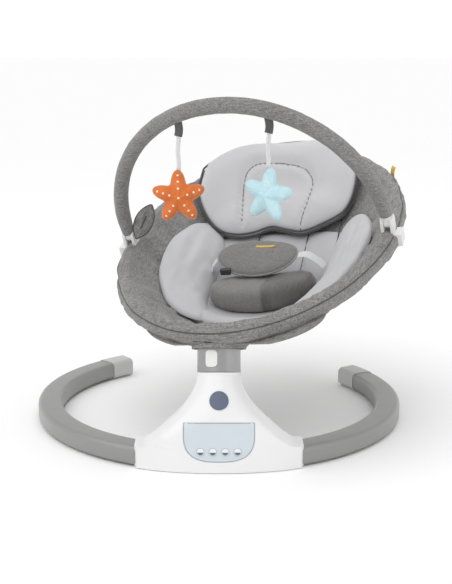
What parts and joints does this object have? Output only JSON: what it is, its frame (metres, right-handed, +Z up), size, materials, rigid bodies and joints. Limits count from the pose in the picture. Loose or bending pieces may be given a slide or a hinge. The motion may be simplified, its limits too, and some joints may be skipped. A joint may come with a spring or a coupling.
{
  "type": "baby swing",
  "caption": "Padded oval baby seat that swings side to side on one leaning shaft above a C-shaped floor ring, with a padded toy bar and two hanging star toys.",
  "frame": {"origin": "on the floor, under the middle of the leg ring", "axes": "+Z up, the housing and its control panel face -Y, +X to the right seen from the front"},
  "size_m": [0.6446, 0.6466, 0.5541],
  "materials": {
    "leg_paint": "satin light grey powder coat",
    "cap_plastic": "pale warm grey moulded plastic",
    "foot_rubber": "dark rubber",
    "white_shell": "gloss white moulded plastic",
    "white_matte": "matte white plastic",
    "panel_blue": "pale blue-grey gloss panel",
    "badge_slate": "slate blue-grey, plain",
    "key_plastic": "pale translucent key cap",
    "board_green": "solder mask green",
    "dark_plastic": "dark grey plastic",
    "grey_plastic": "grey plastic",
    "bearing_bronze": "oiled bronze",
    "steel": "brushed steel",
    "gear_plastic": "natural acetal",
    "collar_metal": "satin silver",
    "heather_grey": "grey heather woven fabric",
    "light_fabric": "soft light grey knit",
    "dark_fabric": "dark grey satin fabric",
    "white_web": "white ribbon and webbing",
    "tag_yellow": "yellow cloth",
    "orange_plush": "orange plush",
    "blue_plush": "pale blue plush"
  },
  "bodies": {
    "base": {"left_leg": "leg_paint", "right_leg": "leg_paint", "left_end_cap": "cap_plastic", "right_end_cap": "cap_plastic", "foot_pads": "foot_rubber", "front_housing": "white_shell", "base_plate": "white_matte", "base_screws": "steel", "panel_window": "panel_blue", "badge": "badge_slate", "control_board": "board_green", "speaker": "dark_plastic", "dc_inlet": "dark_plastic", "chassis": "grey_plastic", "lower_bearing": "bearing_bronze", "upper_bearing": "bearing_bronze", "gear_motor": "steel", "lip_ring": "white_shell"},
    "seat": {"swing_shaft": "steel", "output_gear": "gear_plastic", "collar": "collar_metal", "release_spring": "steel", "seat_hub": "dark_plastic", "ring_clamp": "dark_plastic", "clamp_screws": "steel", "seat_ring": "steel", "rim_padding": "heather_grey", "seat_bowl": "heather_grey", "seat_liner": "light_fabric", "left_wing": "light_fabric", "right_wing": "light_fabric", "head_pillow": "light_fabric", "belly_pad": "dark_fabric", "crotch_pad": "dark_fabric", "waist_straps": "white_web", "buckle": "dark_plastic", "ear_flap": "dark_fabric", "rim_tag": "tag_yellow", "left_bar_socket": "white_matte", "right_bar_socket": "white_matte"},
    "pinion": {"motor_pinion": "gear_plastic"},
    "release": {"release_button": "white_matte"},
    "power_key": {"power_button": "key_plastic"},
    "timer_key": {"timer_button": "key_plastic"},
    "music_key": {"music_button": "key_plastic"},
    "speed_key": {"speed_button": "key_plastic"},
    "toy_bar": {"bar_core": "steel", "bar_sleeve": "heather_grey", "left_bar_end": "white_matte", "right_bar_end": "white_matte", "toy_loops": "dark_fabric"},
    "orange_toy": {"orange_ribbon": "white_web", "orange_star": "orange_plush"},
    "blue_toy": {"blue_ribbon": "white_web", "blue_star": "blue_plush"}
  },
  "joints": [
    {"name": "seat_swing", "type": "hinge", "parent": "base", "child": "seat", "pos_m": [0, -0.235, 0.132], "axis": [0, 0.2924, 0.9563], "range_deg": [-2, 42]},
    {"name": "pinion_spin", "type": "hinge", "parent": "base", "child": "pinion", "pos_m": [0.03, -0.25196, 0.07653], "axis": [0, 0.2924, 0.9563], "range_deg": [-170, 10]},
    {"name": "release_press", "type": "slide", "parent": "seat", "child": "release", "axis": [0.342, 0.8986, -0.2747], "range_m": [0, 0.0025], "stiffness_N_per_m": 900},
    {"name": "toy_bar_turn", "type": "hinge", "parent": "seat", "child": "toy_bar", "pos_m": [0.05931, -0.00451, 0.32849], "axis": [0.9397, -0.3271, 0.1], "range_deg": [-40, 20]},
    {"name": "orange_toy_swing", "type": "hinge", "parent": "toy_bar", "child": "orange_toy", "pos_m": [-0.06509, -0.10752, 0.4971], "axis": [0.8713, -0.4908, 0], "range_deg": [-35, 35]},
    {"name": "blue_toy_swing", "type": "hinge", "parent": "toy_bar", "child": "blue_toy", "pos_m": [0.07691, -0.15211, 0.50524], "axis": [0.9946, -0.1035, 0], "range_deg": [-35, 35]},
    {"name": "power_press", "type": "slide", "parent": "base", "child": "power_key", "axis": [0, 0.959, -0.2833], "range_m": [0, 0.001], "stiffness_N_per_m": 500},
    {"name": "timer_press", "type": "slide", "parent": "base", "child": "timer_key", "axis": [0, 0.959, -0.2833], "range_m": [0, 0.001], "stiffness_N_per_m": 500},
    {"name": "music_press", "type": "slide", "parent": "base", "child": "music_key", "axis": [0, 0.959, -0.2833], "range_m": [0, 0.001], "stiffness_N_per_m": 500},
    {"name": "speed_press", "type": "slide", "parent": "base", "child": "speed_key", "axis": [0, 0.959, -0.2833], "range_m": [0, 0.001], "stiffness_N_per_m": 500}
  ],
  "couplings": [
    {"joint": "pinion_spin", "follows": "seat_swing", "ratio": -4}
  ]
}
